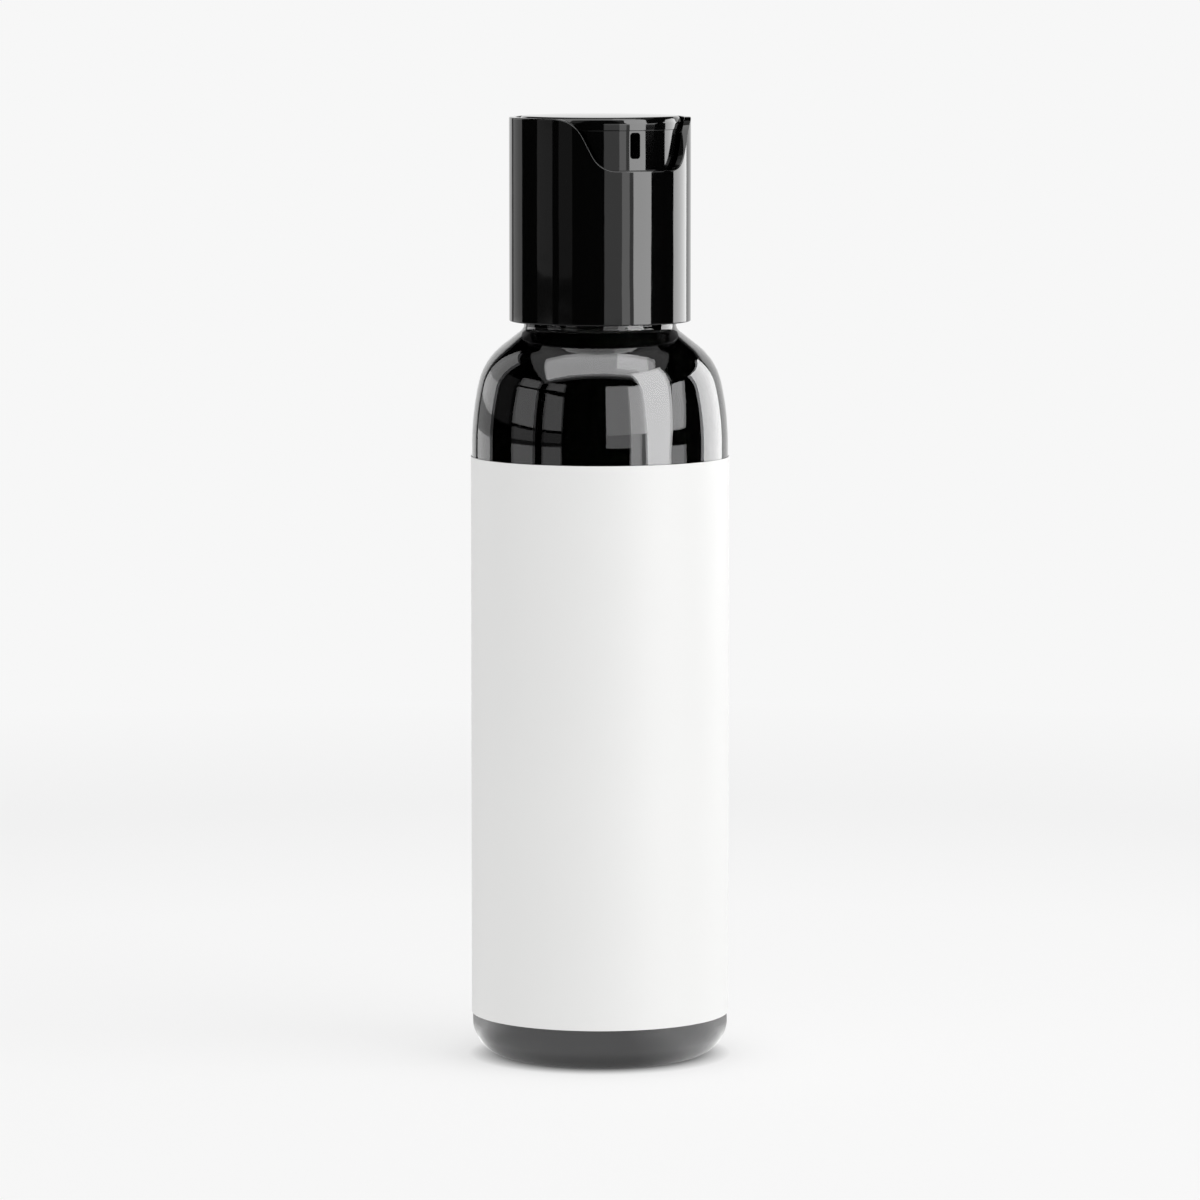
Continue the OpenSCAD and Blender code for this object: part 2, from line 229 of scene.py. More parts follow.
def to_object(bm, name):
    """A finished bmesh as a smooth-shaded object at the origin."""
    mesh = bpy.data.meshes.new(name)
    bm.to_mesh(mesh)
    bm.free()
    mesh.polygons.foreach_set("use_smooth", [True] * len(mesh.polygons))
    mesh.set_sharp_from_angle(angle=CORNER)
    piece = bpy.data.objects.new(name, mesh)
    bpy.context.scene.collection.objects.link(piece)
    even = piece.modifiers.new("even normals", "WEIGHTED_NORMAL")
    even.keep_sharp = True
    print("%s: %d faces" % (name, len(mesh.polygons)))
    return piece


def lathe(bm, section, closed, turn=360.0, start=0.0, steps=TURNS):
    """Spins a section of (radius, height) points in mm and returns the new vertices."""
    angle = math.radians(start)
    verts = [bm.verts.new((r * MM * math.cos(angle), r * MM * math.sin(angle), z * MM))
             for r, z in section]
    pairs = list(zip(verts, verts[1:] + verts[:1]))
    edges = [bm.edges.new(pair) for pair in (pairs if closed else pairs[:-1])]
    full = turn >= 360.0
    before = set(bm.verts) - set(verts)
    bmesh.ops.spin(bm, geom=verts + edges, cent=(0, 0, 0), axis=(0, 0, 1),
                   angle=math.radians(turn), steps=steps, use_merge=full)
    made = [v for v in bm.verts if v not in before]
    bmesh.ops.remove_doubles(bm, verts=made, dist=1e-7)
    return [v for v in bm.verts if v not in before]


def round_rings(bm, radius, segments=3, sharp=30.0):
    """Rounds every level ring of edges where the surface turns sharply."""
    rings = [e for e in bm.edges if len(e.link_faces) == 2
             and abs(e.verts[0].co.z - e.verts[1].co.z) < 1e-7
             and abs(e.verts[0].co.xy.length - e.verts[1].co.xy.length) < 1e-7
             and e.calc_face_angle(0.0) > math.radians(sharp)]
    bmesh.ops.bevel(bm, geom=rings, offset=radius * MM, segments=segments, profile=0.5,
                    affect="EDGES", material=-1, clamp_overlap=True)


def applied(piece):
    """The piece with its modifiers made part of its mesh."""
    graph = bpy.context.evaluated_depsgraph_get()
    finished = bpy.data.meshes.new_from_object(piece.evaluated_get(graph))
    piece.modifiers.clear()
    piece.data = finished
    return piece


def block(bm, low, high):
    """An upright box between two corners in mm."""
    size = [(b - a) * MM for a, b in zip(low, high)]
    middle = [(a + b) / 2 * MM for a, b in zip(low, high)]
    made = bmesh.ops.create_cube(bm, size=1.0)["verts"]
    bmesh.ops.scale(bm, vec=size, verts=made)
    bmesh.ops.translate(bm, vec=middle, verts=made)
    return made


def turned_piece(name, section, closed, corner=0.0):
    """A piece that is nothing but a turned section."""
    bm = bmesh.new()
    lathe(bm, section, closed)
    bmesh.ops.recalc_face_normals(bm, faces=bm.faces)
    if corner:
        round_rings(bm, corner)
    return to_object(bm, name)


# %% [markdown]
# A screw thread is one small section carried round and up at once. The spin operator can do
# that too, with a little rise added at each step. At both ends the crest sinks back into the
# wall, as it does on a real closure, so that nothing catches when the cap goes on.

# %% Helper for threads
def thread(bm, start_z, wall_r, crest_r, crest_w, turns):
    """Adds a right-hand thread that stands out from a wall, with its foot a little way in it."""
    steps = round(turns * THREAD_STEPS)
    out = math.copysign(1.0, crest_r - wall_r)
    foot_r = wall_r - out * THREAD_BITE
    low_r = wall_r - out * THREAD_BITE / 2
    section = [(foot_r, -(crest_w + FLANK_W) / 2), (crest_r, -crest_w / 2),
               (crest_r, crest_w / 2), (foot_r, (crest_w + FLANK_W) / 2)]
    verts = [bm.verts.new((r * MM, 0.0, (start_z + z) * MM)) for r, z in section]
    edges = [bm.edges.new(pair) for pair in zip(verts, verts[1:] + verts[:1])]
    old = set(bm.verts) - set(verts)
    bmesh.ops.spin(bm, geom=verts + edges, cent=(0, 0, 0), axis=(0, 0, 1), angle=math.tau * turns,
                   dvec=(0, 0, THREAD_PITCH * turns / steps * MM), steps=steps, use_merge=False)
    made = [v for v in bm.verts if v not in old]
    ends = [e for e in bm.edges if e.is_boundary and e.verts[0] not in old]
    bmesh.ops.holes_fill(bm, edges=ends, sides=4)
    for v in made:
        radius = v.co.xy.length
        if abs(radius - crest_r * MM) < 0.01 * MM:
            along = ((v.co.z / MM - start_z) / THREAD_PITCH) * 360.0
            share = max(0.0, min(1.0, along / THREAD_RUN_OUT, (turns * 360.0 - along) / THREAD_RUN_OUT))
            v.co.xy *= (low_r + (crest_r - low_r) * share) / crest_r
    return made


# %% [markdown]
# The bottle is blown from a clear preform: the neck keeps the preform's thick moulded wall and
# the body is stretched thin. It is drawn as one closed wall with an inside and an outside,
# because clear plastic only looks right when light crosses both.

# %% Bottle
def body_side(set_in, steps=24):
    """Section of the bottle from heel to cone, for a surface set in from the outside."""
    heel = on_arc((BODY_R - HEEL_R, HEEL_R), HEEL_R - set_in, -90.0, 0.0, steps)
    long_curve = on_arc(LONG_C, LONG_R - set_in, 0.0, LONG_TURN, steps)
    tight_curve = on_arc(TIGHT_C, TIGHT_R - set_in, LONG_TURN, CONE_TILT, steps)
    return heel + long_curve + tight_curve[1:]


def dome(radius, low, top, steps=16):
    """Shallow dome from the axis out to a radius."""
    rise = top - low
    curve = (radius ** 2 + rise ** 2) / (2 * rise)
    return on_arc((0.0, top - curve), curve, 90.0, 90.0 - math.degrees(math.asin(radius / curve)), steps)


foot_inner = BODY_R - HEEL_R - FOOT_W
turn_up = math.radians(CONE_TILT)
fillet_c = (BEAD_R + NECK_FILLET,
            NECK_Z + NECK_FILLET * (1 - math.cos(turn_up)) / math.sin(turn_up))
fillet = on_arc(fillet_c, -NECK_FILLET, CONE_TILT, 0.0, 8)
outside = dome(foot_inner, 0.0, PUNT_H) + body_side(0.0) + fillet
neck = [(BEAD_R, NECK_Z + BEAD_H), (ROOT_R, NECK_Z + BEAD_H),
        (ROOT_R, MOUTH_Z - MOUTH_BEVEL), (ROOT_R - MOUTH_BEVEL, MOUTH_Z), (BORE_R, MOUTH_Z)]
inside = [(BORE_R, cone_height(WALL, BORE_R))] + body_side(WALL)[::-1]
inside += dome(foot_inner, WALL, PUNT_H + BASE_T)[::-1]
bottle = turned_piece("bottle_wall", outside + neck + inside, closed=False, corner=0.25)
bm = bmesh.new()
thread(bm, THREAD_Z, ROOT_R, CREST_R, CREST_W, NECK_TURNS)
bmesh.ops.recalc_face_normals(bm, faces=bm.faces)
neck_thread = to_object(bm, "neck_thread")
weld = bottle.modifiers.new("thread", "BOOLEAN")
weld.operation = "UNION"
weld.solver = "EXACT"
weld.object = neck_thread
bottle.modifiers.move(len(bottle.modifiers) - 1, 0)
applied(bottle)
bpy.data.objects.remove(neck_thread)
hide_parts("bottle")
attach(bottle, "bottle_body")

# %% [markdown]
# The gel fills the bottle up to the neck. It is opaque, so it is a plain filled shape. It wets
# the wall, so its surface goes a hair past the wall's inner face: with no air between the two,
# the black reaches right to the sides, and the gel gives the second set of reflections.

# %% Gel
def cone_radius(set_in, height):
    """Radius of the shoulder's cone at a height, for a surface set in from the outside."""
    start = on_arc(TIGHT_C, TIGHT_R - set_in, CONE_TILT, CONE_TILT, 1)[0]
    return start[0] - (height - start[1]) * math.tan(math.radians(CONE_TILT))


gel_in = WALL - GEL_WET
gel_section = dome(foot_inner, gel_in, PUNT_H + BASE_T - GEL_WET) + body_side(gel_in)
gel_section += [(cone_radius(gel_in, FILL_Z), FILL_Z), (0.0, FILL_Z)]
gel = turned_piece("gel_fill", gel_section, closed=False, corner=0.1)
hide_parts("face_wash_gel")
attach(gel, "bottle_body")

# %% [markdown]
# The label is a film wound once round the straight wall. Its end laps over its start at the
# back, where the second layer stands up by the film's own thickness.

# %% Label
label_low = HEEL_R + LABEL_LOW
label_high = WALL_TOP - LABEL_HIGH
film_in = BODY_R + LABEL_GLUE
bm = bmesh.new()
wrap = [(film_in, label_low), (film_in + LABEL_T, label_low),
        (film_in + LABEL_T, label_high), (film_in, label_high)]
lathe(bm, wrap, closed=True, steps=360)
lap = [(r + LABEL_T - LAP_SINK, z) for r, z in wrap]
lathe(bm, lap, closed=True, turn=LABEL_LAP, start=90.0 - LABEL_LAP / 2, steps=15)
bmesh.ops.holes_fill(bm, edges=[e for e in bm.edges if e.is_boundary], sides=4)
bmesh.ops.recalc_face_normals(bm, faces=bm.faces)
label = to_object(bm, "label_wrap")
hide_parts("label")
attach(label, "bottle_body")

# %% [markdown]
# The cap's shell is turned too, from its threaded skirt to the well above the deck, with the
# chimney that feeds the disc in its middle. The dip in its rim is then pressed down: each
# point of the rim drops by what an S-shaped line gives at its place round the cap, so the
# rounded edge of the rim follows the dip all the way.

# %% Cap shell
def dip_line(inset, low):
    """Half of the dip's outline as (distance round the cap, height), from its lowest point up."""
    half = DIP_HALF - inset + (low - DIP_Z) / math.tan(math.radians(DIP_SLOPE))
    bend = math.tan(math.radians(DIP_SLOPE / 2))
    top = half + (CAP_TOP_Z - low) / math.tan(math.radians(DIP_SLOPE))
    lower = on_arc((half - DIP_LOW_R * bend, low + DIP_LOW_R), DIP_LOW_R, -90.0, DIP_SLOPE - 90.0, 24)
    upper = on_arc((top + DIP_TOP_R * bend, CAP_TOP_Z - DIP_TOP_R), DIP_TOP_R, 90.0 + DIP_SLOPE, 90.0, 24)
    return lower + upper


def height_on(line, distance):
    """Height of a dip line at a distance round the cap from the front."""
    if distance <= line[0][0]:
        return line[0][1]
    for (s0, z0), (s1, z1) in zip(line, line[1:]):
        if distance <= s1:
            return z0 + (z1 - z0) * (distance - s0) / (s1 - s0)
    return line[-1][1]


def round_from_front(co):
    """Angle of a point about the axis, counted from the spout."""
    return abs(math.atan2(co.x, -co.y))


SEAT_R = BALL_R + BALL_PLAY
CHIMNEY_R = math.sqrt(SEAT_R ** 2 - SEAT_DROP ** 2) + CHIMNEY_WALL
roof_z = PIVOT_Z - SEAT_R - CHIMNEY_WALL
seat_low = -math.degrees(math.acos(PORT_R / SEAT_R))
seat_high = -math.degrees(math.asin(SEAT_DROP / SEAT_R))
shell_section = [(SKIRT_BORE_R, CAP_Z)]
shell_section += on_arc((CAP_R - CAP_EDGE, CAP_Z + CAP_EDGE), CAP_EDGE, -90.0, 0.0, 6)
shell_section += on_arc((CAP_R - CAP_EDGE, CAP_TOP_Z - CAP_EDGE), CAP_EDGE, 0.0, 90.0, 6)
shell_section += on_arc((WELL_R + CAP_EDGE / 2, CAP_TOP_Z - CAP_EDGE / 2), CAP_EDGE / 2, 90.0, 180.0, 4)
shell_section += [(WELL_R, LEDGE_Z), (SKIRT_BORE_R, LEDGE_Z), (SKIRT_BORE_R, DECK_TOP_Z),
                  (CHIMNEY_R, DECK_TOP_Z), (CHIMNEY_R, SEAT_Z)]
shell_section += on_arc((0.0, PIVOT_Z), SEAT_R, seat_high, seat_low, 12)
shell_section += [(PORT_R, roof_z), (CHIMNEY_R - CHIMNEY_WALL, roof_z),
                  (CHIMNEY_R - CHIMNEY_WALL, DECK_Z), (SKIRT_BORE_R, DECK_Z)]

bm = bmesh.new()
lathe(bm, shell_section, closed=True, steps=480)
bmesh.ops.recalc_face_normals(bm, faces=bm.faces)
rim_line = dip_line(0.0, DIP_Z)
for v in bm.verts:
    if v.co.z > (CAP_TOP_Z - CAP_EDGE - 0.01) * MM:
        v.co.z += (height_on(rim_line, round_from_front(v.co) * CAP_R) - CAP_TOP_Z) * MM
thread(bm, THREAD_Z - THREAD_PITCH / 2, SKIRT_BORE_R, CAP_CREST_R, CAP_CREST_W, CAP_TURNS)
back_drop = DISC_R * math.sin(math.radians(ROCK)) - (RIM_Z - PIVOT_Z) * math.cos(math.radians(ROCK))
for side in (-1, 1):
    rib = block(bm, (-STOP_W / 2, DISC_R - RIM_T, LEDGE_Z - 0.05),
                (STOP_W / 2, WELL_R + 0.05, PIVOT_Z - back_drop - STOP_GAP))
    bmesh.ops.rotate(bm, cent=(0, 0, 0), verts=rib,
                     matrix=Matrix.Rotation(math.radians(side * STOP_TURN), 3, "Z"))
bmesh.ops.recalc_face_normals(bm, faces=bm.faces)
shell = to_object(bm, "cap_shell_moulding")
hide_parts("cap_shell")
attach(shell, "cap_body")

# %% [markdown]
# The disc is a crowned plate with a turned-down edge. A tongue hangs from its front and fills
# the dip, with the spout's slot in it, and ears at its sides carry the pivot pins. The plate is
# turned; the tongue is part of a turned wall whose lower edge is lowered to the dip's outline;
# and the slot is cut through with a rounded bar.

# %% Press disc
wall_top = DISC_TOP_Z - DISC_EDGE
slope_r = DISC_R - EDGE_SLOPE_H * math.tan(math.radians(EDGE_SLOPE))
edge_r = (DISC_EDGE - EDGE_SLOPE_H) / (1 - math.sin(math.radians(EDGE_SLOPE)))
plate_r = slope_r - edge_r * math.cos(math.radians(EDGE_SLOPE))
plate_section = dome(plate_r, DISC_TOP_Z, DISC_TOP_Z + CROWN)
plate_section += on_arc((plate_r, DISC_TOP_Z - edge_r), edge_r, 90.0, EDGE_SLOPE, 12)[1:]
# Extra rings close to each bend keep the shading of the slope and the wall apart.
plate_section += [(DISC_R + 0.3 * (slope_r - DISC_R), wall_top + 0.3 * EDGE_SLOPE_H),
                  (DISC_R - 0.01, wall_top + 0.03), (DISC_R, wall_top - 0.03),
                  (DISC_R, wall_top - 0.15), (DISC_R, RIM_Z + 0.2), (DISC_R, RIM_Z),
                  (DISC_R - RIM_T, RIM_Z), (DISC_R - RIM_T, PLATE_Z), (0.0, PLATE_Z)]
plate = turned_piece("press_disc_plate", plate_section, closed=False, corner=0.08)

# %% [markdown]
# The tongue could be cut out of a full ring by a boolean, but its lower edge is easier to read
# as a line: a short turned wall is made as deep as the dip, and each point of its foot is then
# lifted to the dip's outline. Two blocks behind it are the duct from the ball to the slot.

# %% Tongue and duct
front_r = DISC_R - SKIRT_STEP
tongue_line = dip_line(SKIRT_GAP, FRONT_Z)
tongue_top = RIM_Z + 0.4
ends = max(d for d, z in tongue_line if z < RIM_Z - 0.05) / CAP_R
tongue_section = [(front_r - RIM_T, FRONT_Z), (front_r, FRONT_Z),
                  (front_r, tongue_top), (front_r - RIM_T, tongue_top)]
bm = bmesh.new()
lathe(bm, tongue_section, closed=True, turn=math.degrees(2 * ends),
      start=-90.0 - math.degrees(ends), steps=200)
bmesh.ops.holes_fill(bm, edges=[e for e in bm.edges if e.is_boundary], sides=4)
for v in bm.verts:
    if v.co.z < (FRONT_Z + 0.01) * MM:
        v.co.z = min(height_on(tongue_line, round_from_front(v.co) * CAP_R), RIM_Z) * MM
duct_half = SLOT_W / 2 + DUCT_WALL
duct_front = front_r - RIM_T / 2
duct_z = SEAT_Z + DUCT_GAP
slot_high = PIVOT_Z + SLOT_RISE
slot_low = slot_high - SLOT_H
duct_back = CHIMNEY_R + DUCT_GAP
duct = block(bm, (-duct_half, -duct_front, slot_low - DUCT_WALL / 2),
             (duct_half, -duct_back, PLATE_Z + 0.05))
duct += block(bm, (-duct_half, -duct_front, duct_z), (duct_half, 0.0, PLATE_Z + 0.05))
turned = Matrix.Rotation(math.radians(-SLOT_TURN), 3, "Z")
bmesh.ops.rotate(bm, cent=(0, 0, 0), matrix=turned, verts=duct)
bmesh.ops.recalc_face_normals(bm, faces=bm.faces)
tongue = to_object(bm, "press_disc_tongue")

# %% [markdown]
# The slot is where the gel comes out. On the real disc a pin in the mould would leave it open,
# so here a bar with rounded long edges is taken away from the tongue. A bevel then rounds all
# new edges, and it is applied, so that the front's normals can be set to point straight out
# from the axis: a curved wall with a hole in it would otherwise shade unevenly.

# %% Slot through the tongue and the duct
bm = bmesh.new()
block(bm, (-SLOT_W / 2, -(DISC_R + 1.0), slot_low), (SLOT_W / 2, -(duct_back + DUCT_WALL), slot_high))
block(bm, (-SLOT_W / 2, -(duct_back + DUCT_WALL + 0.5), duct_z + DUCT_WALL),
      (SLOT_W / 2, -1.0, slot_high - 0.02))
long_edges = [e for e in bm.edges if abs(e.verts[0].co.y - e.verts[1].co.y) > 2 * MM]
bmesh.ops.bevel(bm, geom=long_edges, offset=SLOT_ROUND * MM, segments=8, profile=0.5,
                affect="EDGES", material=-1, clamp_overlap=True)
bmesh.ops.rotate(bm, cent=(0, 0, 0), matrix=turned, verts=bm.verts)
cutter = to_object(bm, "slot_cutter")
cut = tongue.modifiers.new("slot", "BOOLEAN")
cut.operation = "DIFFERENCE"
cut.solver = "EXACT"
cut.use_self = True
cut.object = cutter
tongue.modifiers.move(len(tongue.modifiers) - 1, 0)
soft = tongue.modifiers.new("moulded edges", "BEVEL")
soft.width = 0.22 * MM
soft.segments = 4
soft.limit_method = "ANGLE"
soft.angle_limit = math.radians(40.0)
tongue.modifiers.move(len(tongue.modifiers) - 1, 1)
applied(tongue)
bpy.data.objects.remove(cutter)
mesh = tongue.data
normals = [Vector(corner.vector) for corner in mesh.corner_normals]
for face in mesh.polygons:
    for corner in face.loop_indices:
        spot = mesh.vertices[mesh.loops[corner].vertex_index].co
        outward = Vector((spot.x, spot.y, 0.0)).normalized()
        if abs(spot.xy.length - front_r * MM) < 0.01 * MM and face.normal.dot(outward) > 0.97:
            normals[corner] = outward
mesh.normals_split_custom_set(normals)

# %% [markdown]
# Under the plate hang the parts that nobody sees until the disc rocks: the ball that closes the
# chimney's seat, and two ears with pins that turn in the shell. They are a sphere with its top
# cut off level, two blocks and two short cylinders, laid over by turning them about the axis.

# %% Ball, ears and pins
bm = bmesh.new()
ball = bmesh.ops.create_uvsphere(bm, u_segments=48, v_segments=24, radius=BALL_R * MM)["verts"]
bmesh.ops.translate(bm, vec=(0, 0, PIVOT_Z * MM), verts=ball)
bmesh.ops.bisect_plane(bm, geom=bm.verts[:] + bm.edges[:] + bm.faces[:], clear_outer=True,
                       plane_co=(0, 0, (PLATE_Z + 0.05) * MM), plane_no=(0, 0, 1))
bmesh.ops.holes_fill(bm, edges=[e for e in bm.edges if e.is_boundary], sides=0)
pin_length = EAR_T + DISC_GAP + PIN_HOLE - PIN_END_GAP
lie = Vector((0, 0, 1)).rotation_difference(Vector((1, 0, 0))).to_matrix()
for side in (-1, 1):
    inner, outer = sorted((side * (DISC_R - EAR_T), side * (DISC_R - 0.12)))
    block(bm, (inner, -EAR_HALF, PIVOT_Z - EAR_HALF), (outer, EAR_HALF, PLATE_Z + 0.05))
    pin = bmesh.ops.create_cone(bm, cap_ends=True, segments=32, radius1=PIN_R * MM, radius2=PIN_R * MM,
                                depth=pin_length * MM)["verts"]
    bmesh.ops.rotate(bm, cent=(0, 0, 0), matrix=lie, verts=pin)
    bmesh.ops.translate(bm, verts=pin,
                        vec=(side * (DISC_R - EAR_T + pin_length / 2) * MM, 0, PIVOT_Z * MM))
works = to_object(bm, "press_disc_works")

for piece in (plate, tongue, works):
    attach(piece, "disc_body")
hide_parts("press_disc")

# %% [markdown]
# Finishes. Each one starts from the plastic it is made of and how its surface was made.
# One function turns a written sRGB colour to the linear one that the shader wants, and one
# adds a node with its settings and links.

# %% Helpers for the finishes
def linear(code):
    """A written sRGB colour such as "f2f2f0" as linear red, green, blue and alpha."""
    values = [int(code[i:i + 2], 16) / 255 for i in (0, 2, 4)]
    return [v / 12.92 if v <= 0.04045 else ((v + 0.055) / 1.055) ** 2.4 for v in values] + [1.0]


def add_node(tree, kind, settings=None, links=None):
    """Adds a node, sets its properties or input values, and links its inputs from other sockets."""
    made = tree.nodes.new(kind)
    for key, value in (settings or {}).items():
        if isinstance(key, str) and hasattr(made, key):
            setattr(made, key, value)
        else:
            made.inputs[key].default_value = value
    for key, source in (links or {}).items():
        tree.links.new(source, made.inputs[key])
    return made


def finish(name, settings, grain_mm, grain_depth_mm, detail=2.0, haze=None):
    """A plastic whose surface waves or is grained at a real size."""
    material = bpy.data.materials.new(name)
    material.use_nodes = True
    tree = material.node_tree
    tree.nodes.clear()
    coords = add_node(tree, "ShaderNodeTexCoord")
    waves = add_node(tree, "ShaderNodeTexNoise", {"Scale": 1.0 / (grain_mm * MM), "Detail": detail},
                     {"Vector": coords.outputs["Object"]})
    bump = add_node(tree, "ShaderNodeBump", {"Distance": grain_depth_mm * MM, "Strength": 1.0},
                    {"Height": waves.outputs["Fac"]})
    surface = add_node(tree, "ShaderNodeBsdfPrincipled", settings, {"Normal": bump.outputs["Normal"]})
    if haze:
        low, high, size_mm = haze
        smudge = add_node(tree, "ShaderNodeTexNoise", {"Scale": 1.0 / (size_mm * MM), "Detail": 3.0},
                          {"Vector": coords.outputs["Object"]})
        spread = add_node(tree, "ShaderNodeMapRange", {"From Min": 0.35, "From Max": 0.65,
                                                       "To Min": low, "To Max": high},
                          {"Value": smudge.outputs["Fac"]})
        tree.links.new(spread.outputs["Result"], surface.inputs["Roughness"])
    out = add_node(tree, "ShaderNodeOutputMaterial", None, {"Surface": surface.outputs["BSDF"]})
    print("finish:", name)
    return material


def dress(piece, material):
    """Gives a piece one finish all over."""
    piece.data.materials.clear()
    piece.data.materials.append(material)


# %% [markdown]
# The cap and its disc are black polypropylene, moulded in a polished tool. The polish gives
# sharp reflections, and shrinkage as the plastic cools gives them a slight wave, some 9 mm from
# crest to crest. A faint change of roughness keeps them from looking like glass.

# %% Black polypropylene, polished in the mould
polished_cap = finish("moulded_black_polypropylene",
                      {"Base Color": linear("050505"), "Roughness": 0.04, "IOR": 1.5},
                      grain_mm=9.0, grain_depth_mm=0.03, haze=(0.03, 0.06, 6.0))
for piece in (shell, plate, tongue, works):
    dress(piece, polished_cap)

# %% [markdown]
# The bottle is PET, blown from a preform. Stretching leaves the wall clear and bright, with a
# long slow wave and no grain. It is a true transparent shader on a real wall, and not a mixed
# see-through one, so that the neck bends light as the real one does.

# %% Clear PET, blown
clear_pet = finish("blown_clear_pet",
                   {"Base Color": linear("f4f4f6"), "Roughness": 0.0, "IOR": 1.57, "Transmission Weight": 1.0},
                   grain_mm=14.0, grain_depth_mm=0.012)
dress(bottle, clear_pet)

# %% [markdown]
# A thick gel holds still against the wall, so it mirrors like a liquid. It is nearly black
# and opaque, and all that shows of it is a second, softer set of reflections inside the wall.

# %% Black gel
black_gel = finish("black_gel", {"Base Color": linear("030303"), "Roughness": 0.03, "IOR": 1.54},
                   grain_mm=14.0, grain_depth_mm=0.03)
dress(gel, black_gel)

# %% [markdown]
# The label is a blank white satin film. It is almost plain, with a fine tooth
# that only takes the edge off its reflections. The tooth of real film is finer than this, and
# it is drawn at 0.35 mm so that it shows at all.

# %% White label film
label_film = finish("satin_white_label_film",
                    {"Base Color": linear("f4f4f3"), "Roughness": 0.5, "IOR": 1.45,
                     "Specular IOR Level": 0.3},
                    grain_mm=0.35, grain_depth_mm=0.002, haze=(0.46, 0.54, 4.0))
dress(label, label_film)

# %% [markdown]
# The liner is a punched ring of closed-cell foam, seen only when the cap is off. Its solid
# from the frame is plain enough to keep, and only gets its finish: matt, with cells 0.4 mm wide.

# %% White foam liner
liner_foam = finish("white_liner_foam", {"Base Color": linear("e8e8e4"), "Roughness": 0.8, "IOR": 1.45},
                    grain_mm=0.4, grain_depth_mm=0.03)
dress(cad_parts["seal_liner"], liner_foam)

# %% [markdown]
# The studio. Polished black plastic shows nothing but what stands round it, so the softboxes
# are real panels at the places where the photograph's reflections say they were: a bright tall
# one to the right, one behind to the right, dimmer ones to the left, and a wide one overhead.
# They are seen in reflections only. The even light on the label comes from the world.

# %% Helpers for the studio
def place(name, bm, material):
    """Puts a finished bmesh in the studio, as something that isn't part of the object."""
    mesh = bpy.data.meshes.new(name)
    bm.to_mesh(mesh)
    bm.free()
    thing = bpy.data.objects.new(name, mesh)
    thing.data.materials.append(material)
    bpy.context.scene.collection.objects.link(thing)
    return thing


def direction(turn, rise=0.0):
    """Unit vector at an angle round from the camera's side, to the right in the view, and up."""
    flat = math.radians(turn) + VIEW_TURN
    up = math.radians(rise)
    return Vector((math.sin(flat) * math.cos(up), -math.cos(flat) * math.cos(up), math.sin(up)))


def glow(name, strength):
    """A material that only gives off an even light."""
    material = bpy.data.materials.new(name)
    material.use_nodes = True
    tree = material.node_tree
    tree.nodes.clear()
    emission = add_node(tree, "ShaderNodeEmission", {"Strength": strength})
    add_node(tree, "ShaderNodeOutputMaterial", None, {"Surface": emission.outputs["Emission"]})
    return material


def only_mirrored(panel):
    """Keeps a panel for reflections: it lights nothing and isn't seen itself."""
    panel.visible_camera = False
    panel.visible_diffuse = False
    panel.visible_shadow = False


# %% [markdown]
# A softbox could be a flat plane. One that is curved round the bottle keeps an even width in
# the reflections, so each is spun from one upright edge, and its angles are the ones at which
# its edges show on the cap. A shoulder turns them into arches all by itself.

# %% Helper for softboxes
PANEL_DISTANCE = 0.62


def softbox(name, from_turn, to_turn, low, high, strength, lean_from=0.0, lean_to=0.0):
    """A glowing panel curved round the bottle between two angles and two heights in metres, with
    its upper corners leaning round by some degrees."""
    bm = bmesh.new()
    steps = 12
    start = direction(from_turn) * PANEL_DISTANCE
    low_vert = bm.verts.new((start.x, start.y, low))
    high_vert = bm.verts.new((start.x, start.y, high))
    edge = bm.edges.new((low_vert, high_vert))
    bmesh.ops.spin(bm, geom=[low_vert, high_vert, edge], cent=(0, 0, 0), axis=(0, 0, 1),
                   angle=math.radians(to_turn - from_turn), steps=steps, use_merge=False)
    upright = [e for e in bm.edges if abs(e.verts[0].co.z - e.verts[1].co.z) > 0.001]
    bmesh.ops.subdivide_edges(bm, edges=upright, cuts=6, use_grid_fill=True)
    for v in bm.verts:
        turn = math.degrees(math.atan2(v.co.x, -v.co.y) - VIEW_TURN)
        across = (turn - from_turn) % 360.0 / (to_turn - from_turn)
        up = (v.co.z - low) / (high - low)
        lean = math.radians(up * (lean_from + (lean_to - lean_from) * min(across, 1.0)))
        v.co.xy = Matrix.Rotation(lean, 2) @ v.co.xy
    only_mirrored(place(name, bm, glow(name, strength)))

# %% Softboxes to the right
softbox("softbox_right_dim", 5.5, 27.5, 0.072, 0.13, 0.9)
softbox("softbox_right_dim", 5.5, 27.5, 0.13, 0.44, 1.4)
softbox("softbox_right_edge", 27.5, 37.5, 0.0, 0.13, 2.4)
softbox("softbox_right_edge", 27.5, 37.5, 0.13, 0.42, 3.2)
softbox("softbox_right_join", 37.5, 43, 0.0, 0.13, 0.8)
softbox("softbox_right_join", 37.5, 43, 0.13, 0.42, 3.6)
softbox("softbox_right", 43, 65, 0.0, 0.8, 6.4, lean_from=-4.0, lean_to=18.0)
softbox("softbox_right_side", 66, 83, 0.0, 0.071, 1.8)
softbox("softbox_right_side", 66, 83, 0.128, 0.37, 2.7, lean_from=14.0, lean_to=10.0)
softbox("softbox_right_back", 106, 141, 0.0, 0.40, 4.6)
print("right side: five softboxes beside each other and one behind")

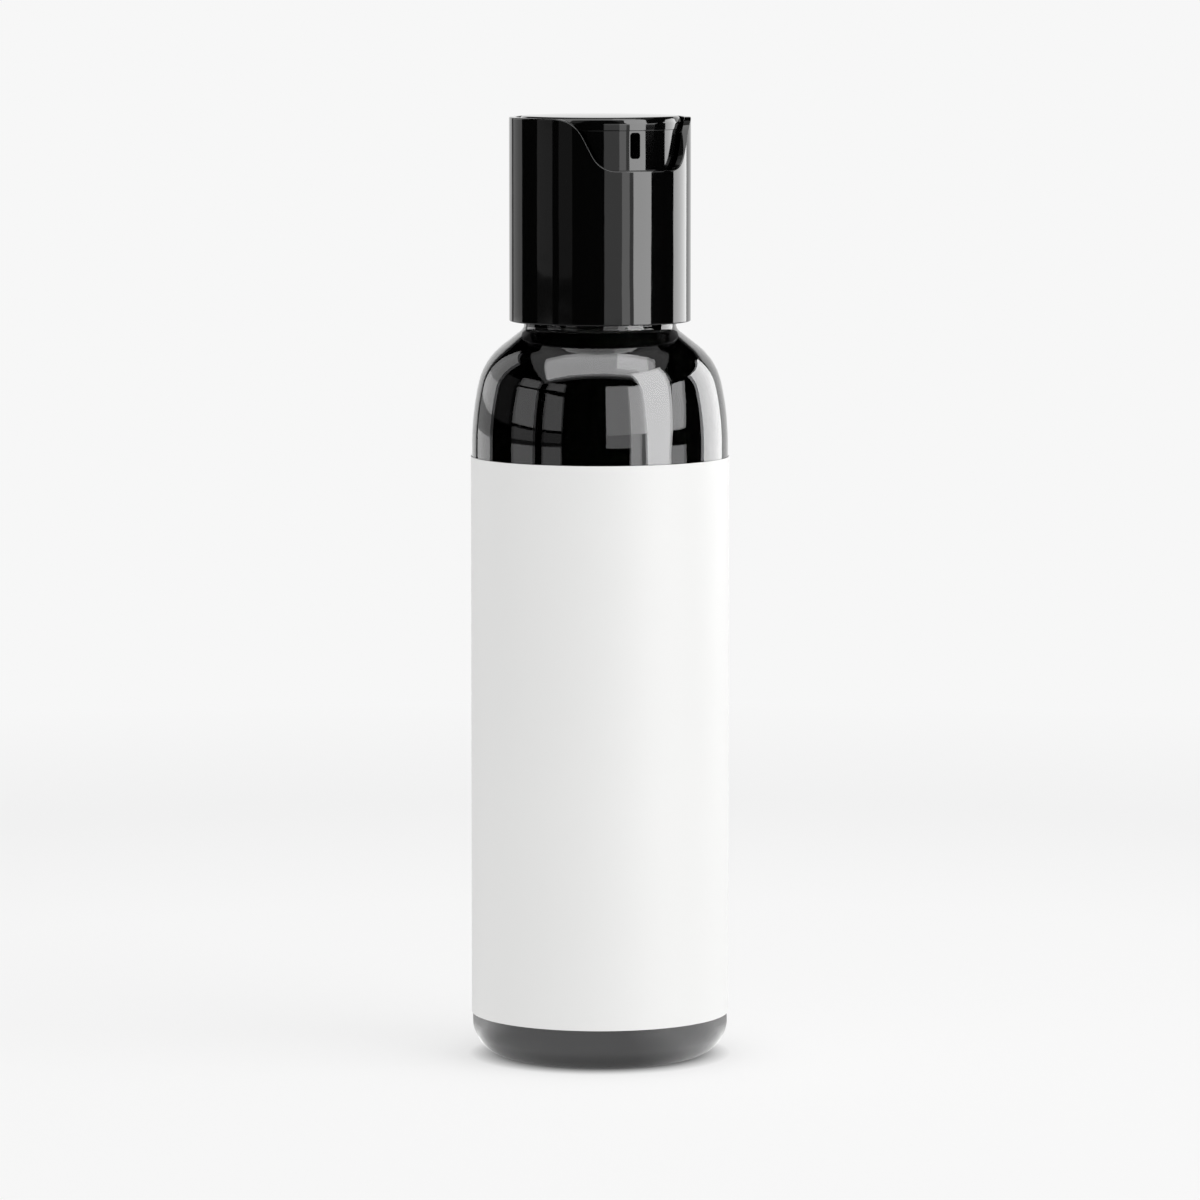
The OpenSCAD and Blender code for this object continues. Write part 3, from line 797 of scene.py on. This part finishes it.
# %% Softbox and window to the left
LEFT_BACK = 1.15
LEFT_BACK_TIERS = [(0.0, 0.076, 1.4), (0.076, 0.13, 0.55), (0.13, 0.25, 1.5), (0.25, 0.6, 0.8)]
for low, high, share in LEFT_BACK_TIERS:
    softbox("softbox_left_back", -142.5, -116, low, high, LEFT_BACK * share)
softbox("window_dim_pane", -111, -90, 0.13, 0.4, 0.05)
WINDOW_HEIGHTS = [(0.0, 0.073, 0.55, 0.8), (0.073, 0.09, 0.03, 0.05), (0.09, 0.13, 0.16, 0.32),
                  (0.142, 0.292, 0.6, 0.8), (0.318, 0.46, 0.5, 0.65)]
for low, high, near_pane, far_pane in WINDOW_HEIGHTS:
    softbox("window_near_pane", -53, -35, low, high, near_pane)
    softbox("window_far_pane", -86, -62, low, high, far_pane)
print("left side: a softbox behind and a window of %d rows" % len(WINDOW_HEIGHTS))

# %% [markdown]
# The top of the shoulder and the disc mirror what hangs over the bottle: one wide panel, a
# brighter patch where two lamps overlap, and a dim scrim round it. Each is one level face with
# four corners, wider towards the camera, as the photograph shows it.

# %% Overhead panels
OVERHEAD = 0.7
SHOULDER = 0.107


def overhead_panel(name, near, far, strength, lift=0.0):
    """A level panel over the bottle. Each edge is a distance towards the camera and where it starts
    and ends across the view, all in heights above the shoulder."""
    corners = [(near[1], near[0]), (near[2], near[0]), (far[2], far[0]), (far[1], far[0])]
    bm = bmesh.new()
    bm.faces.new([bm.verts.new((across * OVERHEAD, -towards * OVERHEAD, OVERHEAD))
                  for across, towards in corners])
    bmesh.ops.translate(bm, vec=(0, 0, SHOULDER + lift), verts=bm.verts)
    bmesh.ops.rotate(bm, cent=(0, 0, 0), matrix=Matrix.Rotation(VIEW_TURN, 3, "Z"), verts=bm.verts)
    only_mirrored(place(name, bm, glow(name, strength)))


overhead_panel("softbox_overhead", (0.80, -1.29, 1.29), (-0.11, -0.625, 0.625), 2.9)
overhead_panel("softbox_overhead_overlap", (0.52, 0.24, 0.86), (-0.10, 0.16, 0.50), 4.6, lift=-0.002)
overhead_panel("overhead_scrim", (1.0, -1.6, 1.6), (-0.60, -0.70, 0.70), 0.33, lift=0.01)
print("overhead: three panels %.2f m above the shoulder" % OVERHEAD)

# %% [markdown]
# The floor is white paper. Its brightness is partly its own glow, standing in for paper under even light,
# and partly what the lamps give it, so that the bottle's shadow stays. Near the bottle that glow is a little
# stronger than the paper's level, and right under the base it fades almost to nothing: a painted contact
# shadow.
# Far away it is all its own, and so it meets the backdrop without a horizon. A mirror like the cap would show
# that white everywhere. In the photograph the studio beyond the paper is dark, so reflections see the paper
# only near the bottle and straight behind it.

# %% Helpers for the floor and the world
PAPER = 0.93
MIRROR_PAPER = 1.0
BEHIND = 176.0
BEHIND_WIDE = 37.0
BEHIND_NARROW = 33.0


def facing(tree, vector, turn, rise, wide, narrow, low, high):
    """A level that goes from low to high as a vector comes within some degrees of a direction."""
    dot = add_node(tree, "ShaderNodeVectorMath",
                   {"operation": "DOT_PRODUCT", 1: direction(turn, rise)}, {0: vector})
    return fade(tree, dot.outputs["Value"], math.cos(math.radians(wide)),
                math.cos(math.radians(narrow)), low, high)


def fade(tree, value, near, far, painted_floor_reflection, far_level):
    """A level that changes with a value, such as a distance in metres."""
    level = add_node(tree, "ShaderNodeMapRange", {"From Min": near, "From Max": far,
                                                  "To Min": painted_floor_reflection, "To Max": far_level}, {"Value": value})
    return level.outputs["Result"]


def combine(tree, operation, first, second):
    """Two levels multiplied, or the greater of the two."""
    made = add_node(tree, "ShaderNodeMath", {"operation": operation}, {0: first, 1: second})
    return made.outputs["Value"]


# %% Floor
FOOT_NEAR = 0.0145
FOOT_FAR = 0.0205
FOOT_PAINTED_SHADOW = 0.05
OWN_NEAR = 0.28
OWN_FAR = 0.46
OWN_SHARE = 0.61
FLOOR_R = 2.5

floor_paper = bpy.data.materials.new("white_floor_paper")
floor_paper.use_nodes = True
tree = floor_paper.node_tree
tree.nodes.clear()
rays = add_node(tree, "ShaderNodeLightPath")
where = add_node(tree, "ShaderNodeTexCoord").outputs["Object"]
reach = add_node(tree, "ShaderNodeVectorMath", {"operation": "LENGTH"}, {0: where}).outputs["Value"]
way = add_node(tree, "ShaderNodeVectorMath", {"operation": "NORMALIZE"}, {0: where}).outputs["Vector"]
# Right under the base the floor's own glow fades almost to nothing: a painted contact shadow, not one cast by
# a lamp.
own_glow_and_painted_shadow = combine(tree, "MULTIPLY", fade(tree, reach, FOOT_NEAR, FOOT_FAR, FOOT_PAINTED_SHADOW, 1.0),
                     fade(tree, reach, 0.16, 0.3, 1.0, PAPER))
lit = add_node(tree, "ShaderNodeBsdfDiffuse", {"Color": linear("fdfdfd")})
even = add_node(tree, "ShaderNodeEmission", {"Color": (1, 1, 1, 1)}, {"Strength": own_glow_and_painted_shadow})
seen = add_node(tree, "ShaderNodeMixShader", None,
                {"Fac": fade(tree, reach, OWN_NEAR, OWN_FAR, OWN_SHARE, 1.0),
                 1: lit.outputs["BSDF"], 2: even.outputs["Emission"]})

# %% [markdown]
# What a mirror sees of the floor is a glow of its own, partly the paper and partly painted: the paper near the
# bottle, made brighter at the sides than in front or behind as a painted reflection, with a painted shadow
# under the base, and white where the backdrop is. The number of mirrorings that Light Path counts then chooses
# between the two.

# %% The floor as the bottle mirrors it: a painted reflection
# Painted reflection: near the bottle the floor's glow for mirrors is made brighter at the sides and dimmer
# behind, and dark under the base as a painted shadow.
painted_floor_reflection = combine(tree, "MULTIPLY", fade(tree, reach, 0.12, 0.42, PAPER, 0.0),
                     facing(tree, way, -25.0, 0.0, 78.0, 45.0, 1.75, 1.0))
painted_floor_reflection = combine(tree, "MULTIPLY", painted_floor_reflection,
                     facing(tree, way, 180.0, 0.0, 75.0, 42.0, 1.0, 0.35))
painted_floor_reflection = combine(tree, "MULTIPLY", painted_floor_reflection,
                     fade(tree, reach, FOOT_NEAR, FOOT_FAR, FOOT_PAINTED_SHADOW, 1.0))
mirror_level = combine(tree, "MAXIMUM", painted_floor_reflection,
                       facing(tree, way, BEHIND, 0.0, BEHIND_WIDE, BEHIND_NARROW, 0.0, MIRROR_PAPER))
mirrored = add_node(tree, "ShaderNodeEmission", {"Color": (1, 1, 1, 1)}, {"Strength": mirror_level})
was_mirrored = add_node(tree, "ShaderNodeMath", {"operation": "MINIMUM", 1: 1.0},
                        {0: rays.outputs["Glossy Depth"]})
choose = add_node(tree, "ShaderNodeMixShader", None,
                  {"Fac": was_mirrored.outputs["Value"], 1: seen.outputs["Shader"],
                   2: mirrored.outputs["Emission"]})
add_node(tree, "ShaderNodeOutputMaterial", None, {"Surface": choose.outputs["Shader"]})
bm = bmesh.new()
bmesh.ops.create_circle(bm, cap_ends=True, segments=96, radius=FLOOR_R)
place("white_floor", bm, floor_paper)
print("floor: %.1f m to its edge" % FLOOR_R)

# %% [markdown]
# The world is three things, and Light Path tells them apart. To the camera, and straight through
# clear plastic, it is the white backdrop. To a mirror it is dark but for the backdrop behind the
# bottle. To matt surfaces it is the soft light of the whole room, a little stronger on the right.

# %% World
AMBIENT = 0.69
AMBIENT_TILT = 0.16
BACKDROP_TOP = 22.5
BACKDROP_FADE = 19.0
world = bpy.data.worlds.new("studio")
bpy.context.scene.world = world
world.use_nodes = True
tree = world.node_tree
tree.nodes.clear()
rays = add_node(tree, "ShaderNodeLightPath")
where = add_node(tree, "ShaderNodeTexCoord").outputs["Generated"]
rise = add_node(tree, "ShaderNodeSeparateXYZ", None, {0: where}).outputs["Z"]
backdrop = combine(tree, "MULTIPLY",
                   facing(tree, where, BEHIND, 0.0, BEHIND_WIDE, BEHIND_NARROW, 0.0, MIRROR_PAPER),
                   fade(tree, rise, math.sin(math.radians(BACKDROP_FADE)),
                        math.sin(math.radians(BACKDROP_TOP)), 1.0, 0.0))
soft_light = facing(tree, where, 60.0, 0.0, 180.0, 0.0,
                    AMBIENT * (1 - AMBIENT_TILT), AMBIENT * (1 + AMBIENT_TILT))
unmirrored = add_node(tree, "ShaderNodeMath", {"operation": "SUBTRACT", 0: 1.0, "use_clamp": True},
                      {1: rays.outputs["Glossy Depth"]}).outputs["Value"]
plain = combine(tree, "MAXIMUM", rays.outputs["Is Camera Ray"],
                combine(tree, "MULTIPLY", rays.outputs["Is Transmission Ray"], unmirrored))
studio = add_node(tree, "ShaderNodeMix", {"data_type": "FLOAT"},
                  {"Factor": rays.outputs["Is Diffuse Ray"], "A": backdrop, "B": soft_light})
level = add_node(tree, "ShaderNodeMix", {"data_type": "FLOAT", "B": PAPER},
                 {"Factor": plain, "A": studio.outputs["Result"]})
sky = add_node(tree, "ShaderNodeBackground", {"Color": (1, 1, 1, 1)},
               {"Strength": level.outputs["Result"]})
add_node(tree, "ShaderNodeOutputWorld", None, {"Surface": sky.outputs["Background"]})
print("world: room light", AMBIENT)

# %% [markdown]
# One true lamp, large and high on the right, gives the label its slow change from left to right
# and the bottle its soft shadow on the left. It is kept out of reflections, because the panels
# already stand for the lamps there.

# %% Key light
KEY_SIZE = 0.9
KEY_WATTS = 4.1
KEY_TURN = 62.0
KEY_RISE = 50.0
KEY_DISTANCE = 1.4
key_data = bpy.data.lights.new("key_softbox", "AREA")
key_data.shape = "RECTANGLE"
key_data.size = KEY_SIZE
key_data.size_y = KEY_SIZE
key_data.energy = KEY_WATTS
key = bpy.data.objects.new("key_softbox", key_data)
key.location = direction(KEY_TURN, KEY_RISE) * KEY_DISTANCE
key.rotation_euler = (-key.location).to_track_quat("-Z", "Y").to_euler()
key.visible_glossy = False
key.visible_camera = False
bpy.context.scene.collection.objects.link(key)
print("key lamp: %.1f W" % KEY_WATTS)

# %% [markdown]
# The plain Standard view shows each colour as it was written.

# %% View settings and the end
bpy.context.scene.view_settings.view_transform = "Standard"
